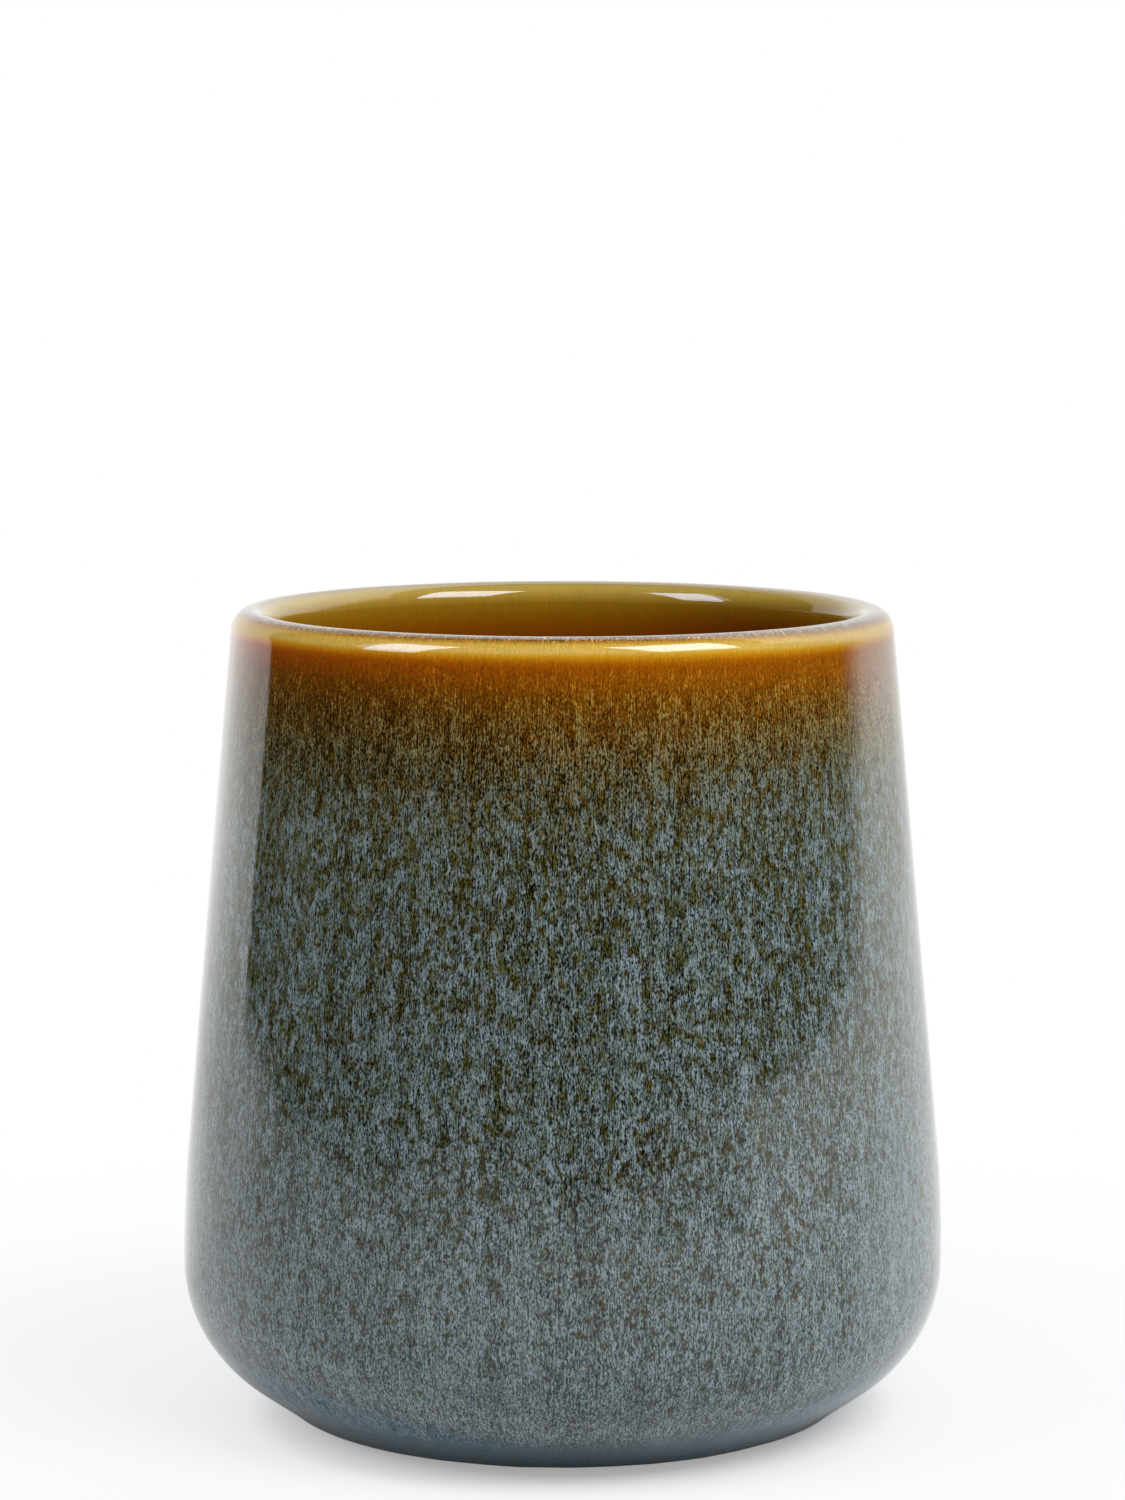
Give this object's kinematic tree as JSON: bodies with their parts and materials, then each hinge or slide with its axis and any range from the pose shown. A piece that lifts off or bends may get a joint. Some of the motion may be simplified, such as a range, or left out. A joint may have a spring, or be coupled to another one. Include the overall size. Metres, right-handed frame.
{
  "type": "toothbrush holder",
  "caption": "Tapered stoneware tumbler with a full round lip, a bellied heel and a bare foot ring, reactive glaze outside and amber glaze inside, for standing toothbrushes in.",
  "frame": {"origin": "centre of the base, on the surface that the foot ring stands on", "axes": "+Z is the axis of the tumbler, from the foot up to the lip; X and Y are alike, because the part is round"},
  "size_m": [0.1, 0.0998, 0.105],
  "materials": {
    "bare_stoneware": "matt, unglazed, slightly gritty",
    "reactive_glaze": "glossy; amber at the lip, blue-grey with fine brown streaks below",
    "amber_glaze": "glossy",
    "slate_glaze": "glossy"
  },
  "bodies": {
    "root": {"stoneware_body": "bare_stoneware", "outer_glaze": "reactive_glaze", "liner_glaze": "amber_glaze", "base_glaze": "slate_glaze"}
  },
  "joints": []
}
